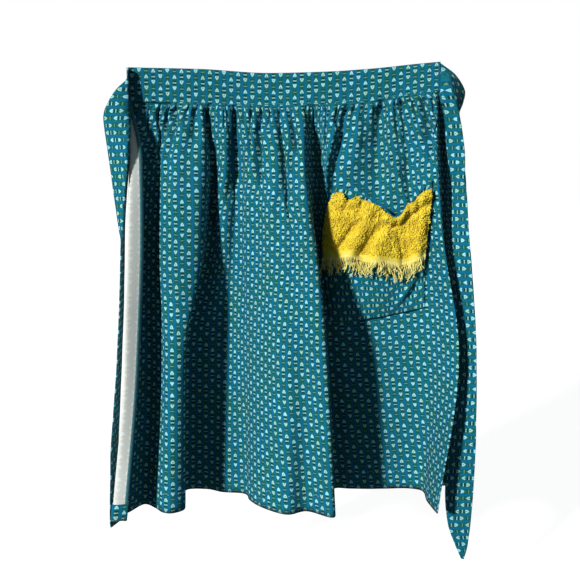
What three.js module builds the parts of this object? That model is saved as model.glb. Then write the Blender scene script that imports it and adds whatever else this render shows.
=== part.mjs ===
// Half waist apron: a gathered skirt on a folded waistband, one patch pocket with a fringed
// terry trim along its sagging mouth, and two long ties with pointed ends.
// Millimetres. +Z is up, +X is to the right as seen from the front and -Y faces the viewer.
// The origin is the middle of the waistband's top edge, where the apron hangs at the waist.
import * as THREE from "three";

// Waistband
const bandLength = 375;
const bandHeight = 39;
const bandThickness = 2.8;

// Skirt
const skirtDrop = 480;
const foldDepth = 100;
const clothWall = 1.2;
const seamGap = 0.5;
const columnPitch = 9;
const skirtRows = 16;
const rowsCloserAtTop = 1.25;

// Pocket
const pocketWidth = bandLength * 0.3573;
const pocketHeight = 170;
const pocketLeft = bandLength * 0.12;
const pocketTop = 130;
const pocketBulge = 18;
const bulgeAcross = 0.6;
const bulgeDown = 0.7;
const pocketWall = 1.2;
const pocketGap = 1.5;

// Terry trim on the pocket's mouth
const trimHeight = 92;
const trimWall = 2.6;
const trimGap = 1;
const trimRipple = 4;
const trimInset = 0.015;
const fringeLength = 13;
const fringeLocks = 16;
const columnsPerLock = 4;
const bindingShow = 8;

// Ties
const tieWidth = 40;
const tieWall = 2;
const tieGap = 0.3;
const leftTieDrop = 531;
const rightTieDrop = 594;

const cottonColour = 0x0b7391;
const trimColour = 0xe8d23c;

// Top and bottom edge of the waistband. along: from -1 at the left end to 1 at the right end,
// top and bottom: heights as shares of the band's height.
const bandTable = [
  { along: -1.0, top: 0.18, bottom: -0.87 },
  { along: -0.54, top: 0.13, bottom: -0.93 },
  { along: -0.1, top: 0.01, bottom: -1.0 },
  { along: 0.26, top: 0.05, bottom: -0.95 },
  { along: 0.58, top: 0.15, bottom: -0.85 },
  { along: 0.84, top: 0.28, bottom: -0.64 },
  { along: 1.0, top: 0.35, bottom: -0.55 },
];

// Heights down the skirt at which the folds are stated, as shares of its drop.
const levels = [0, 0.15, 0.35, 0.62, 1];

// The skirt's folds from its left edge to its right edge, one row for each ridge, valley or turn.
// x: place at each level as a share of the band's length, out: how far it stands toward the
// viewer at each level as a share of foldDepth.
const foldTable = [
  { name: "side edge", x: [-0.478, -0.445, -0.437, -0.447, -0.486], out: [0.04, 0.34, 0.58, 0.82, 1.05] },
  { name: "roll front", x: [-0.486, -0.482, -0.483, -0.489, -0.53], out: [0.02, 0.4, 0.69, 0.92, 1.07] },
  { name: "roll back", x: [-0.485, -0.481, -0.482, -0.488, -0.53], out: [0, 0.33, 0.62, 0.84, 0.98] },
  { name: "behind roll", x: [-0.474, -0.466, -0.466, -0.47, -0.492], out: [-0.01, 0.16, 0.44, 0.68, 0.79] },
  { name: "left valley", x: [-0.445, -0.435, -0.443, -0.445, -0.452], out: [-0.01, 0.02, 0.2, 0.42, 0.53] },
  { name: "A foot", x: [-0.374, -0.393, -0.402, -0.393, -0.412], out: [-0.01, 0.04, 0.24, 0.5, 0.66] },
  { name: "A left", x: [-0.334, -0.394, -0.393, -0.374, -0.384], out: [0.03, 0.16, 0.38, 0.64, 0.8] },
  { name: "A top", x: [-0.305, -0.322, -0.328, -0.342, -0.357], out: [0.06, 0.3, 0.53, 0.73, 0.83] },
  { name: "A right", x: [-0.273, -0.252, -0.26, -0.313, -0.321], out: [0.03, 0.2, 0.4, 0.68, 0.72] },
  { name: "A wall", x: [-0.258, -0.242, -0.259, -0.32, -0.322], out: [0.01, 0.08, 0.2, 0.4, 0.5] },
  { name: "A valley", x: [-0.239, -0.232, -0.25, -0.324, -0.331], out: [0, -0.02, 0.01, 0.02, 0.03] },
  { name: "small ridge", x: [-0.199, -0.19, -0.202, -0.248, -0.26], out: [0.04, 0.12, 0.13, 0.02, 0.01] },
  { name: "small valley", x: [-0.165, -0.157, -0.165, -0.18, -0.211], out: [0, 0, 0.04, 0.07, 0.11] },
  { name: "B foot", x: [-0.139, -0.133, -0.138, -0.136, -0.132], out: [0.02, 0.06, 0.1, 0.14, 0.18] },
  { name: "B left", x: [-0.122, -0.122, -0.123, -0.111, -0.113], out: [0.05, 0.17, 0.24, 0.3, 0.4] },
  { name: "B shoulder", x: [-0.084, -0.073, -0.07, -0.064, -0.071], out: [0.06, 0.28, 0.42, 0.54, 0.64] },
  { name: "B middle", x: [-0.02, -0.003, 0.003, 0.009, 0.012], out: [0.06, 0.38, 0.6, 0.79, 0.87] },
  { name: "B dip", x: [0.025, 0.037, 0.062, 0.062, 0.07], out: [0.05, 0.38, 0.66, 0.84, 0.76] },
  { name: "B ridge", x: [0.06, 0.063, 0.096, 0.129, 0.154], out: [0.06, 0.4, 0.68, 0.94, 0.96] },
  { name: "B wall", x: [0.073, 0.076, 0.1, 0.129, 0.157], out: [0.03, 0.18, 0.34, 0.48, 0.48] },
  { name: "B valley", x: [0.093, 0.103, 0.108, 0.137, 0.172], out: [0, -0.04, -0.04, -0.03, -0.02] },
  { name: "left of pocket", x: [0.144, 0.138, 0.153, 0.192, 0.223], out: [0.04, 0.09, 0.03, 0, -0.01] },
  { name: "under pocket", x: [0.217, 0.212, 0.221, 0.252, 0.284], out: [0.04, 0.08, 0.03, 0.01, 0] },
  { name: "pocket valley", x: [0.315, 0.307, 0.303, 0.318, 0.346], out: [0, 0.02, 0.03, 0.02, -0.01] },
  { name: "right of pocket", x: [0.358, 0.366, 0.371, 0.391, 0.421], out: [0.05, 0.09, 0.04, 0.03, -0.02] },
  { name: "C foot", x: [0.416, 0.437, 0.46, 0.478, 0.464], out: [0.04, 0.11, 0.12, 0.17, 0.06] },
  { name: "C slope", x: [0.441, 0.463, 0.484, 0.52, 0.468], out: [0.06, 0.17, 0.26, 0.4, 0.44] },
  { name: "C ridge", x: [0.467, 0.483, 0.505, 0.553, 0.485], out: [0.05, 0.22, 0.36, 0.58, 0.84] },
  { name: "C back", x: [0.479, 0.5, 0.514, 0.545, 0.484], out: [0.02, 0.08, 0.16, 0.28, 0.44] },
  { name: "right valley", x: [0.486, 0.512, 0.525, 0.55, 0.5], out: [-0.01, -0.04, -0.05, -0.06, -0.08] },
  { name: "right edge", x: [0.497, 0.56, 0.591, 0.612, 0.59], out: [-0.01, -0.05, -0.08, -0.12, -0.12] },
];

// The larger gathers below the waistband, one row for each groove. top and end: its place at the
// seam and at its lower end as shares of the band's length, drop: how far down it runs as a share
// of the skirt's drop, depth and width: shares of foldDepth and of the band's length.
const gatherTable = [
  { top: -0.398, end: -0.4, drop: 0.14, depth: 0.05, width: 0.011 },
  { top: -0.352, end: -0.372, drop: 0.1, depth: 0.05, width: 0.011 },
  { top: -0.29, end: -0.285, drop: 0.12, depth: 0.05, width: 0.01 },
  { top: -0.175, end: -0.155, drop: 0.16, depth: 0.05, width: 0.012 },
  { top: -0.105, end: -0.1, drop: 0.12, depth: 0.05, width: 0.01 },
  { top: -0.066, end: -0.075, drop: 0.16, depth: 0.05, width: 0.01 },
  { top: -0.014, end: 0.015, drop: 0.2, depth: 0.06, width: 0.011 },
  { top: 0.03, end: 0.045, drop: 0.12, depth: 0.05, width: 0.01 },
  { top: 0.2, end: 0.16, drop: 0.24, depth: 0.07, width: 0.012 },
  { top: 0.262, end: 0.25, drop: 0.12, depth: 0.04, width: 0.01 },
  { top: 0.392, end: 0.42, drop: 0.2, depth: 0.07, width: 0.012 },
];

// The left tie from the band's end to its tip, one row for each turn of the ribbon. edge, crease
// and back: its outer edge, the crease along it and its inner edge, each as x outward from the
// band's end as a share of tieWidth, out toward the viewer as a share of foldDepth and down as a
// share of the tie's drop. front: the share of its width between edge and crease.
const leftTieTable = [
  { edge: [0.05, 0.0, -0.013], crease: [0.05, 0.0, 0.05], back: [0.05, 0.0, 0.066], front: 0.8 },
  { edge: [-0.04, 0.15, -0.008], crease: [-0.07, 0.18, 0.069], back: [-0.01, 0.09, 0.079], front: 0.8 },
  { edge: [-0.01, 0.18, 0.014], crease: [-0.09, 0.24, 0.092], back: [-0.07, 0.09, 0.099], front: 0.8 },
  { edge: [0.27, 0.21, 0.037], crease: [-0.12, 0.32, 0.11], back: [-0.07, 0.1, 0.114], front: 0.78 },
  { edge: [0.51, 0.24, 0.064], crease: [-0.15, 0.4, 0.133], back: [-0.07, 0.12, 0.134], front: 0.74 },
  { edge: [0.67, 0.27, 0.101], crease: [-0.14, 0.45, 0.163], back: [-0.05, 0.16, 0.166], front: 0.68 },
  { edge: [0.53, 0.32, 0.178], crease: [-0.11, 0.5, 0.207], back: [-0.03, 0.22, 0.21], front: 0.6 },
  { edge: [0.35, 0.42, 0.266], crease: [-0.06, 0.56, 0.266], back: [0.03, 0.28, 0.27], front: 0.45 },
  { edge: [0.16, 0.54, 0.344], crease: [0.01, 0.62, 0.344], back: [0.09, 0.32, 0.348], front: 0.25 },
  { edge: [0.07, 0.62, 0.38], crease: [0.05, 0.65, 0.38], back: [0.1, 0.34, 0.384], front: 0.08 },
  { edge: [0.1, 0.72, 0.49], crease: [0.09, 0.72, 0.49], back: [0.14, 0.38, 0.501], front: 0.04 },
  { edge: [0.18, 0.82, 0.635], crease: [0.17, 0.82, 0.635], back: [0.22, 0.46, 0.652], front: 0.04 },
  { edge: [0.39, 0.92, 0.853], crease: [0.38, 0.92, 0.853], back: [0.36, 0.54, 0.879], front: 0.04 },
  { edge: [0.43, 0.96, 0.985], crease: [0.42, 0.96, 0.985], back: [0.36, 0.6, 1.0], front: 0.04 },
  { edge: [0.41, 0.97, 1.0], crease: [0.4, 0.96, 1.0], back: [0.29, 0.62, 1.01], front: 0.04 },
];

// The right tie, with the same columns: it leaves the band, folds back on itself and hangs.
const rightTieTable = [
  { edge: [0.03, 0.0, -0.02], crease: [0.03, 0.0, 0.01], back: [0.03, 0.0, 0.043], front: 0.5 },
  { edge: [0.55, -0.08, 0.005], crease: [0.24, 0.07, 0.008], back: [0.04, 0.08, 0.05], front: 0.5 },
  { edge: [0.85, -0.14, 0.037], crease: [0.38, 0.09, 0.038], back: [0.08, 0.09, 0.066], front: 0.5 },
  { edge: [0.77, -0.1, 0.058], crease: [0.49, 0.11, 0.067], back: [0.12, 0.09, 0.086], front: 0.48 },
  { edge: [0.61, -0.04, 0.087], crease: [0.58, 0.14, 0.092], back: [0.16, 0.09, 0.11], front: 0.45 },
  { edge: [0.66, 0.0, 0.125], crease: [0.66, 0.17, 0.125], back: [0.19, 0.1, 0.136], front: 0.4 },
  { edge: [0.74, 0.07, 0.174], crease: [0.73, 0.2, 0.17], back: [0.27, 0.11, 0.176], front: 0.36 },
  { edge: [0.81, 0.22, 0.238], crease: [0.72, 0.21, 0.238], back: [0.41, 0.13, 0.239], front: 0.3 },
  { edge: [0.94, 0.28, 0.345], crease: [0.74, 0.24, 0.346], back: [0.44, 0.18, 0.347], front: 0.4 },
  { edge: [1.08, 0.35, 0.456], crease: [0.81, 0.32, 0.457], back: [0.46, 0.27, 0.459], front: 0.45 },
  { edge: [1.16, 0.44, 0.58], crease: [0.88, 0.42, 0.582], back: [0.54, 0.38, 0.585], front: 0.5 },
  { edge: [1.17, 0.5, 0.719], crease: [0.78, 0.48, 0.72], back: [0.38, 0.46, 0.723], front: 0.5 },
  { edge: [1.13, 0.51, 0.845], crease: [0.73, 0.5, 0.846], back: [0.25, 0.5, 0.847], front: 0.5 },
  { edge: [1.07, 0.5, 0.919], crease: [0.72, 0.5, 0.919], back: [0.35, 0.5, 0.918], front: 0.5 },
  { edge: [1.01, 0.49, 0.967], crease: [0.81, 0.49, 0.967], back: [0.59, 0.49, 0.965], front: 0.5 },
  { edge: [0.9, 0.48, 0.999], crease: [0.86, 0.48, 0.999], back: [0.8, 0.48, 0.997], front: 0.5 },
];

// The pocket's mouth and foot. along: from 0 at the left side to 1 at the right side, mouth and
// foot: depths below the left top corner as shares of pocketHeight.
const pocketTable = [
  { along: 0, mouth: 0.02, foot: 1.02 },
  { along: 0.24, mouth: 0.07, foot: 1.01 },
  { along: 0.5, mouth: 0.17, foot: 0.985 },
  { along: 0.61, mouth: 0.235, foot: 0.97 },
  { along: 0.77, mouth: 0.147, foot: 0.945 },
  { along: 0.93, mouth: 0.02, foot: 0.915 },
  { along: 1, mouth: -0.02, foot: 0.9 },
];

// The pocket's two sides. down: from 0 at the mouth to 1 at the foot, left and right: places as
// shares of pocketWidth from pocketLeft.
const pocketSides = [
  { down: 0, left: 0.12, right: 0.99 },
  { down: 0.2, left: 0.03, right: 0.985 },
  { down: 0.42, left: 0, right: 0.965 },
  { down: 0.62, left: 0.02, right: 0.95 },
  { down: 1, left: 0.09, right: 0.95 },
];

const lerp = THREE.MathUtils.lerp;

// Monotone cubic through (xs, ys), which never swings past its points.
function smoothThrough(xs, ys, x) {
  const last = xs.length - 1;
  const at = Math.min(Math.max(x, xs[0]), xs[last]);
  let i = 0;
  while (i < last - 1 && at > xs[i + 1]) i++;
  const slope = (k) => (ys[k + 1] - ys[k]) / (xs[k + 1] - xs[k]);
  const tangent = (k) => {
    if (k === 0) return slope(0);
    if (k === last) return slope(last - 1);
    const a = slope(k - 1);
    const b = slope(k);
    return a * b <= 0 ? 0 : (2 * a * b) / (a + b);
  };
  const h = xs[i + 1] - xs[i];
  const u = (at - xs[i]) / h;
  const v = 1 - u;
  return (
    ys[i] * v * v * (1 + 2 * u) +
    ys[i + 1] * u * u * (1 + 2 * v) +
    tangent(i) * h * u * v * v -
    tangent(i + 1) * h * u * u * v
  );
}

// Reads one column of a table at a place given in another column.
function fromTable(table, placeColumn, valueColumn, place) {
  return smoothThrough(
    table.map((row) => row[placeColumn]),
    table.map((row) => row[valueColumn]),
    place,
  );
}

// A closed wall round a grid of points: half the wall to each side of the grid along its normal.
// The grid's rows run down and its columns run to the right as seen from the front.
function wallFromGrid(grid, wall) {
  const rows = grid.length;
  const cols = grid[0].length;
  const front = [];
  const back = [];
  const down = new THREE.Vector3();
  const right = new THREE.Vector3();
  const normal = new THREE.Vector3();
  for (let r = 0; r < rows; r++) {
    for (let c = 0; c < cols; c++) {
      const p = grid[r][c];
      down.subVectors(grid[Math.min(r + 1, rows - 1)][c], grid[Math.max(r - 1, 0)][c]);
      right.subVectors(grid[r][Math.min(c + 1, cols - 1)], grid[r][Math.max(c - 1, 0)]);
      normal.crossVectors(down, right).normalize();
      front.push(p.clone().addScaledVector(normal, wall / 2));
      back.push(p.clone().addScaledVector(normal, -wall / 2));
    }
  }
  const points = front.concat(back);
  const behind = rows * cols;
  const faces = [];
  const quad = (a, b, c, d) => faces.push(a, b, c, a, c, d);
  const id = (r, c) => r * cols + c;
  for (let r = 0; r < rows - 1; r++) {
    for (let c = 0; c < cols - 1; c++) {
      quad(id(r, c), id(r + 1, c), id(r + 1, c + 1), id(r, c + 1));
      quad(behind + id(r, c), behind + id(r, c + 1), behind + id(r + 1, c + 1), behind + id(r + 1, c));
    }
  }
  for (let c = 0; c < cols - 1; c++) {
    quad(id(0, c), id(0, c + 1), behind + id(0, c + 1), behind + id(0, c));
    quad(id(rows - 1, c), behind + id(rows - 1, c), behind + id(rows - 1, c + 1), id(rows - 1, c + 1));
  }
  for (let r = 0; r < rows - 1; r++) {
    quad(id(r, 0), behind + id(r, 0), behind + id(r + 1, 0), id(r + 1, 0));
    quad(id(r, cols - 1), id(r + 1, cols - 1), behind + id(r + 1, cols - 1), behind + id(r, cols - 1));
  }
  const geometry = new THREE.BufferGeometry();
  geometry.setAttribute("position", new THREE.Float32BufferAttribute(points.flatMap((p) => p.toArray()), 3));
  geometry.setIndex(faces);
  geometry.computeVertexNormals();
  return geometry;
}

function piece(name, geometry, colour, roughness) {
  const material = new THREE.MeshStandardMaterial({ color: colour, roughness, metalness: 0 });
  const mesh = new THREE.Mesh(geometry, material);
  mesh.name = name;
  return mesh;
}

// Height of the waistband's top or bottom edge above a place x.
function bandEdge(edge, x) {
  return bandHeight * fromTable(bandTable, "along", edge, (2 * x) / bandLength);
}

function waistband() {
  const cols = 28;
  const rows = 3;
  const grid = [];
  for (let r = 0; r <= rows; r++) {
    const row = [];
    for (let c = 0; c <= cols; c++) {
      const x = bandLength * (c / cols - 0.5);
      row.push(new THREE.Vector3(x, 0, lerp(bandEdge("top", x), bandEdge("bottom", x), r / rows)));
    }
    grid.push(row);
  }
  return piece("waistband", wallFromGrid(grid, bandThickness), cottonColour, 0.9);
}

// The skirt's fold rows as points at one height, t from 0 at the seam to 1 at the hem.
function foldPoints(t) {
  return foldTable.map(
    (fold) =>
      new THREE.Vector3(
        bandLength * smoothThrough(levels, fold.x, t),
        -foldDepth * smoothThrough(levels, fold.out, t),
        0,
      ),
  );
}

// How many columns of the mesh each stretch between two fold rows gets.
const stretchColumns = foldPoints(0.62).map((p, i, all) =>
  i === 0 ? 0 : Math.max(2, Math.round(p.distanceTo(all[i - 1]) / columnPitch)),
);

function gatherDent(x, t) {
  let dent = 0;
  for (const gather of gatherTable) {
    if (t >= gather.drop) continue;
    const run = t / gather.drop;
    const middle = bandLength * lerp(gather.top, gather.end, run);
    const off = (x - middle) / (bandLength * gather.width);
    dent += foldDepth * gather.depth * Math.exp(-off * off) * (1 - run * run);
  }
  return dent;
}

// The skirt's middle surface at one height as a list of points from left to right.
function skirtSection(t) {
  const points = foldPoints(t);
  const curve = new THREE.CatmullRomCurve3(points, false, "centripetal");
  const section = [];
  for (let i = 1; i < points.length; i++) {
    for (let k = i === 1 ? 0 : 1; k <= stretchColumns[i]; k++) {
      const p = curve.getPoint((i - 1 + k / stretchColumns[i]) / (points.length - 1));
      const seam = bandEdge("bottom", p.x) - seamGap;
      p.z = seam - t * (skirtDrop + seam + bandHeight);
      p.y += gatherDent(p.x, t);
      section.push(p);
    }
  }
  return section;
}

function skirt() {
  const grid = [];
  for (let r = 0; r <= skirtRows; r++) {
    grid.push(skirtSection(Math.pow(r / skirtRows, rowsCloserAtTop)));
  }
  return piece("skirt", wallFromGrid(grid, clothWall), cottonColour, 0.9);
}

// How far the skirt's front face stands toward the viewer at x, z. Counts only the part of the
// section to the right of fold B, where the pocket is sewn on.
function skirtFront(x, z) {
  const seam = bandEdge("bottom", x) - seamGap;
  const t = THREE.MathUtils.clamp((seam - z) / (skirtDrop + seam + bandHeight), 0, 1);
  const from = foldPoints(t)[foldTable.findIndex((fold) => fold.name === "B valley")].x;
  const section = skirtSection(t).filter((p) => p.x >= from - 1);
  let out = -Infinity;
  for (let i = 1; i < section.length; i++) {
    const a = section[i - 1];
    const b = section[i];
    if (x < Math.min(a.x, b.x) || x > Math.max(a.x, b.x)) continue;
    out = Math.max(out, -lerp(a.y, b.y, (x - a.x) / (b.x - a.x || 1)));
  }
  return out + clothWall / 2;
}

// A point on the pocket's cloth: along from 0 to 1 to the right, down from 0 at the mouth to 1.
function pocketPoint(along, down) {
  const left = fromTable(pocketSides, "down", "left", down);
  const right = fromTable(pocketSides, "down", "right", down);
  const x = pocketLeft + pocketWidth * lerp(left, right, along);
  const mouth = fromTable(pocketTable, "along", "mouth", along);
  const foot = fromTable(pocketTable, "along", "foot", along);
  const z = -pocketTop - pocketHeight * lerp(mouth, foot, down);
  const across = Math.sin(Math.PI * THREE.MathUtils.clamp(along, 0, 1));
  const bulge = pocketBulge * across ** bulgeAcross * (1 - down ** 3) ** bulgeDown;
  const out = skirtFront(x, z) + pocketGap + pocketWall / 2 + bulge;
  return new THREE.Vector3(x, -out, z);
}

function pocket() {
  const cols = 18;
  const rows = 12;
  const grid = [];
  for (let r = 0; r <= rows; r++) {
    const row = [];
    for (let c = 0; c <= cols; c++) row.push(pocketPoint(c / cols, r / rows));
    grid.push(row);
  }
  return piece("pocket", wallFromGrid(grid, pocketWall), cottonColour, 0.9);
}

// How far the trim's gathers stand off the pocket at a place along its mouth, from 0 to 1.
function gatherWave(along) {
  const gathers = 3;
  const crowding = 1.4;
  const crowdedPlaces = 1.1;
  const turn = 2 * Math.PI * along;
  return 0.5 + 0.5 * Math.sin(gathers * turn + crowding * Math.sin(crowdedPlaces * turn));
}

// The terry trim lies on the pocket from just below its mouth. Its lower edge is cut into locks.
function pocketTrim() {
  const cols = fringeLocks * columnsPerLock;
  const rows = [0, 0.12, 0.35, 0.6, 0.82, 1];
  const last = rows.length - 1;
  const start = bindingShow / pocketHeight;
  const stand = pocketWall / 2 + trimGap + trimWall / 2;
  const grid = rows.map(() => []);
  for (let c = 0; c <= cols; c++) {
    const along = lerp(trimInset, 1 - trimInset, c / cols);
    const lock = c % columnsPerLock === 0 ? 0 : fringeLength;
    rows.forEach((down, r) => {
      const length = trimHeight - fringeLength + (r === last ? lock : 0);
      const p = pocketPoint(along, start + (down * length) / pocketHeight);
      p.y -= stand + trimRipple * gatherWave(along) * Math.min(1, 3 * down);
      grid[r].push(p);
    });
  }
  return piece("pocket_trim", wallFromGrid(grid, trimWall), trimColour, 1);
}

// One tie as a ribbon over the crease between its two long edges, read from its table.
function tie(name, table, side, drop) {
  const rows = 40;
  const across = 5;
  const places = table.map((row, i) => i);
  const linePoint = (line, place) => {
    const [x, out, down] = [0, 1, 2].map((k) =>
      smoothThrough(places, table.map((row) => row[line][k]), place),
    );
    return new THREE.Vector3(side * (bandLength / 2 + tieGap + tieWidth * x), -foldDepth * out, -drop * down);
  };
  const grid = [];
  for (let r = 0; r <= rows; r++) {
    const place = ((table.length - 1) * r) / rows;
    const edge = linePoint("edge", place);
    const crease = linePoint("crease", place);
    const back = linePoint("back", place);
    const front = smoothThrough(places, table.map((row) => row.front), place);
    const row = [];
    for (let c = 0; c <= across; c++) {
      const share = c / across;
      const point =
        share < front
          ? edge.clone().lerp(crease, share / front)
          : crease.clone().lerp(back, (share - front) / (1 - front));
      row.push(point);
    }
    grid.push(side > 0 ? row.reverse() : row);
  }
  return piece(name, wallFromGrid(grid, tieWall), cottonColour, 0.9);
}

const apron = new THREE.Group();
apron.add(waistband(), skirt(), pocket(), pocketTrim());
apron.add(tie("tie_left", leftTieTable, -1, leftTieDrop), tie("tie_right", rightTieTable, 1, rightTieDrop));

export default apron;
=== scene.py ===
# Half waist apron: a gathered printed cotton skirt on a folded waistband, with a patch pocket
# under a fringed terry trim and a long pointed tie at each end of the band. Metres, +Z up,
# -Y toward the viewer, the origin in the middle of the waistband's top edge.
import math

import bpy
import numpy as np
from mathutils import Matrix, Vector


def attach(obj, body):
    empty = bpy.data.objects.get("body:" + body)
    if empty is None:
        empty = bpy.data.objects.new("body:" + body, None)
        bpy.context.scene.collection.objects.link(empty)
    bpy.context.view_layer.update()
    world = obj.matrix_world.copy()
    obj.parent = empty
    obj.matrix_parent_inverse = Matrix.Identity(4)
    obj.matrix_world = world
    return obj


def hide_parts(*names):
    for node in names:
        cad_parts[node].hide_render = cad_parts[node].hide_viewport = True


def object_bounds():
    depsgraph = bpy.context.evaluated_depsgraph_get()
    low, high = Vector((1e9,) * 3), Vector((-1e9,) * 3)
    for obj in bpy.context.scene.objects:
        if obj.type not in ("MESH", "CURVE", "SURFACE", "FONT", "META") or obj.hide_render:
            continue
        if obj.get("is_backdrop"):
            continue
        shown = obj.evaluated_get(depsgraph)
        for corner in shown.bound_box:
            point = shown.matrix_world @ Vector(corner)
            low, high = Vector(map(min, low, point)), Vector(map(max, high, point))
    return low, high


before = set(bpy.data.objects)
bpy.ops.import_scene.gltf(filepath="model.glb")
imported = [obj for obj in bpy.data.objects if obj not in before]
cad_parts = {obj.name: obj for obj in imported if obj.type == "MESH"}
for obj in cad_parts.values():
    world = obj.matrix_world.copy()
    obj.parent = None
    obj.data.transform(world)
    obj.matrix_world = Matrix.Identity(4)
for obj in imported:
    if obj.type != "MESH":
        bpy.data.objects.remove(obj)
cad_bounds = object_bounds()
scene = bpy.context.scene
scene.view_settings.view_transform = "Standard"
mm = 0.001

# Camera
# It stands a little over a metre in front of the apron and looks slightly down at it.


def linked(name, data):
    """A new object in the scene."""
    made = bpy.data.objects.new(name, data)
    scene.collection.objects.link(made)
    return made


camera = linked("camera", bpy.data.cameras.new("camera"))
camera.data.sensor_width = 36
camera.data.lens = 55.55
camera.location = (0.007, -1.1, -0.118)
camera.rotation_euler = (math.radians(82.5), 0, 0)
scene.camera = camera

# Studio
# A plain pale floor just below the tie ends, one key light from the left and a weak even fill.
floor_height = -0.66
floor_reach = 14
floor_sides = ((-1, -1), (1, -1), (1, 1), (-1, 1))
floor_corners = [(x * floor_reach, y * floor_reach, floor_height) for x, y in floor_sides]
floor_mesh = bpy.data.meshes.new("floor")
floor_mesh.from_pydata(floor_corners, [], [(0, 1, 2, 3)])
floor = linked("floor", floor_mesh)


def new_material(name, **values):
    """A material, its tree and its shader. The values go to the shader's inputs by their names."""
    material = bpy.data.materials.new(name)
    material.use_nodes = True
    shader = material.node_tree.nodes["Principled BSDF"]
    for label, value in values.items():
        shader.inputs[label.replace("_", " ")].default_value = value
    return material, material.node_tree, shader


floor_paint, _, _ = new_material(
    "pale floor",
    Base_Color=(0.3, 0.3, 0.3, 1),
    Roughness=1,
    Specular_IOR_Level=0,
    Emission_Color=(1, 1, 1, 1),
    Emission_Strength=0.93,
)
floor_mesh.materials.append(floor_paint)
floor.visible_diffuse = False
floor.visible_glossy = False
floor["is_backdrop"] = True

key = linked("key light", bpy.data.lights.new("key light", "SUN"))
key.data.energy = 4.4
key.data.angle = math.radians(5)
key.data.color = (1, 0.985, 0.96)
key_tilt, key_turn = math.radians(70), math.radians(-37)
key.rotation_euler = (key_tilt, 0, key_turn)

world = bpy.data.worlds.new("studio")
world.use_nodes = True
scene.world = world
nodes, links = world.node_tree.nodes, world.node_tree.links
fill, backdrop = nodes["Background"], nodes.new("ShaderNodeBackground")
for light, light_colour, strength in ((fill, (0.8, 0.93, 1, 1), 0.13), (backdrop, (1, 1, 1, 1), 1.0)):
    light.inputs["Color"].default_value = light_colour
    light.inputs["Strength"].default_value = strength
seen = nodes.new("ShaderNodeLightPath")
either = nodes.new("ShaderNodeMixShader")
for i, source in enumerate((seen.outputs["Is Camera Ray"], fill.outputs[0], backdrop.outputs[0])):
    links.new(source, either.inputs[i])
links.new(either.outputs[0], nodes["World Output"].inputs["Surface"])

# Waistband
# A strip of the printed cotton folded lengthwise and pressed flat over the gathered seam. Its top
# edge sags between the two corners that the apron hangs from.
band_length = 375 * mm
band_height = 39 * mm
band_thickness = 2.8 * mm

# Columns: place from -1 at the left end to 1 at the right end, top edge and bottom edge as
# shares of the band's height.
band_table = np.array(
    [
        (-1.0, 0.18, -0.87),
        (-0.54, 0.13, -0.93),
        (-0.1, 0.01, -1.0),
        (0.26, 0.05, -0.95),
        (0.58, 0.15, -0.85),
        (0.84, 0.28, -0.64),
        (1.0, 0.35, -0.55),
    ]
)


def smooth_through(places, values, at):
    """A curve through the points that never swings past them. values may hold several columns."""
    places = np.asarray(places, float)
    values = np.asarray(values, float)
    at = np.clip(at, places[0], places[-1])
    i = np.clip(np.searchsorted(places, at, side="left") - 1, 0, len(places) - 2)
    wide = (slice(None),) + (None,) * (values.ndim - 1)
    slopes = np.diff(values, axis=0) / np.diff(places)[wide]
    before, after = slopes[:-1], slopes[1:]
    same_way = before * after > 0
    middle = np.where(same_way, 2 * before * after / np.where(same_way, before + after, 1), 0)
    tangents = np.concatenate([slopes[:1], middle, slopes[-1:]])
    h = (places[i + 1] - places[i]).reshape(at.shape + (1,) * (values.ndim - 1))
    u = ((at - places[i]) / (places[i + 1] - places[i])).reshape(h.shape)
    v = 1 - u
    return (
        values[i] * v * v * (1 + 2 * u)
        + values[i + 1] * u * u * (1 + 2 * v)
        + tangents[i] * h * u * v * v
        - tangents[i + 1] * h * u * u * v
    )


def read_at(table, at):
    """A table's later columns where its first column is at, as one array each."""
    return np.moveaxis(smooth_through(table[:, 0], table[:, 1:], at), -1, 0)


def band_edge(column, x):
    """Height of the waistband's top edge (column 1) or bottom edge (column 2) above a place x."""
    return band_height * smooth_through(band_table[:, 0], band_table[:, column], 2 * x / band_length)


class Signal:
    """A value that runs through a shader tree and takes part in ordinary sums."""

    def __init__(self, tree, socket):
        self.tree = tree
        self.socket = socket

    def __add__(self, other):
        return maths("ADD", self, other)

    def __sub__(self, other):
        return maths("SUBTRACT", self, other)

    def __rsub__(self, other):
        return maths("SUBTRACT", other, self)

    def __mul__(self, other):
        return maths("MULTIPLY", self, other)

    def __truediv__(self, other):
        return maths("DIVIDE", self, other)

    def __pow__(self, other):
        return maths("POWER", self, other)

    def __abs__(self):
        return maths("ABSOLUTE", self)


def put(tree, socket, value):
    """Gives a socket a number, a signal, another socket, or a node's first output in use."""
    if isinstance(value, Signal):
        value = value.socket
    if isinstance(value, bpy.types.Node):
        value = next(output for output in value.outputs if output.enabled)
    if isinstance(value, bpy.types.NodeSocket):
        tree.links.new(value, socket)
    else:
        socket.default_value = value


def maths(operation, *values, kind="ShaderNodeMath"):
    """One Math node. The values are signals or numbers."""
    tree = next(value.tree for value in values if isinstance(value, Signal))
    made = tree.nodes.new(kind)
    made.operation = operation
    for socket, value in zip(made.inputs, values):
        put(tree, socket, value)
    return Signal(tree, made.outputs[0])


def rise(value, start, end, low=0.0, high=1.0):
    """Goes smoothly from low to high as value goes from start to end."""
    made = value.tree.nodes.new("ShaderNodeMapRange")
    made.interpolation_type = "SMOOTHSTEP"
    for socket, number in zip(made.inputs, (value, start, end, low, high)):
        put(value.tree, socket, number)
    return Signal(value.tree, made.outputs["Result"])


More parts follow.
